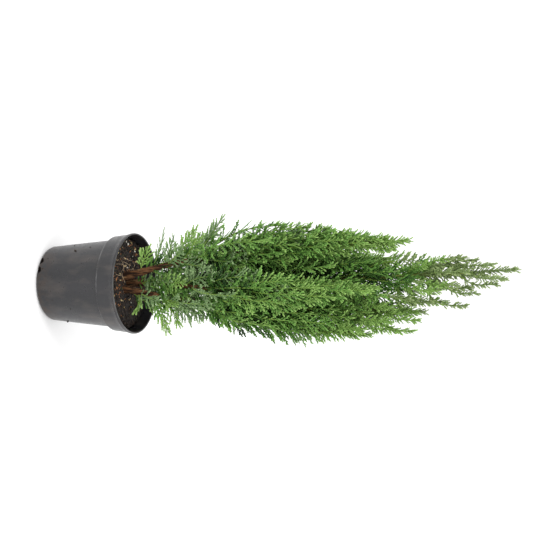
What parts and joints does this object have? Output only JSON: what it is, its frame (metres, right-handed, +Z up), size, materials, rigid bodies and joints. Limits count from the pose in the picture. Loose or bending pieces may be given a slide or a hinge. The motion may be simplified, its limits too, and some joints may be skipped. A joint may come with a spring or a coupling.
{
  "type": "potted lawson cypress",
  "caption": "Young upright lawson cypress with reddish stems and dense feathery green sprays, growing in a round dark plastic nursery pot with a deep collar.",
  "frame": {"origin": "middle of the pot's flat underside", "axes": "+Z up along the pot and the plant; -Y towards the side seen in the picture, +X to its right"},
  "size_m": [0.1339, 0.1234, 0.4995],
  "materials": {
    "pot_plastic": "satin",
    "compost": "matte",
    "bark": "matte",
    "foliage": "matte"
  },
  "bodies": {
    "root": {"back_left_foliage_1": "foliage", "back_left_foliage_2": "foliage", "back_left_foliage_3": "foliage", "back_left_foliage_4": "foliage", "back_left_foliage_5": "foliage", "back_left_foliage_tip": "foliage", "back_right_foliage_1": "foliage", "back_right_foliage_2": "foliage", "back_right_foliage_3": "foliage", "back_right_foliage_4": "foliage", "back_right_foliage_5": "foliage", "back_right_foliage_tip": "foliage", "bough_back_left": "bark", "bough_back_right": "bark", "bough_far_right": "bark", "bough_front": "bark", "centre_foliage_1": "foliage", "centre_foliage_2": "foliage", "centre_foliage_3": "foliage", "centre_foliage_4": "foliage", "centre_foliage_5": "foliage", "centre_foliage_6": "foliage", "centre_foliage_7": "foliage", "centre_foliage_8": "foliage", "centre_foliage_tip": "foliage", "compost": "compost", "far_right_foliage_2": "foliage", "far_right_foliage_3": "foliage", "far_right_foliage_4": "foliage", "far_right_foliage_tip": "foliage", "front_foliage_1": "foliage", "front_foliage_2": "foliage", "front_foliage_3": "foliage", "front_foliage_4": "foliage", "front_foliage_5": "foliage", "front_foliage_6": "foliage", "front_foliage_tip": "foliage", "left_foliage_1": "foliage", "left_foliage_2": "foliage", "left_foliage_3": "foliage", "left_foliage_4": "foliage", "left_foliage_5": "foliage", "left_foliage_6": "foliage", "left_foliage_7": "foliage", "left_foliage_tip": "foliage", "low_foliage_left": "foliage", "low_foliage_right": "foliage", "pot": "pot_plastic", "right_foliage_1": "foliage", "right_foliage_2": "foliage", "right_foliage_3": "foliage", "right_foliage_4": "foliage", "right_foliage_5": "foliage", "right_foliage_6": "foliage", "right_foliage_7": "foliage", "right_foliage_tip": "foliage", "stem_centre": "bark", "stem_left": "bark", "stem_right": "bark"}
  },
  "joints": []
}
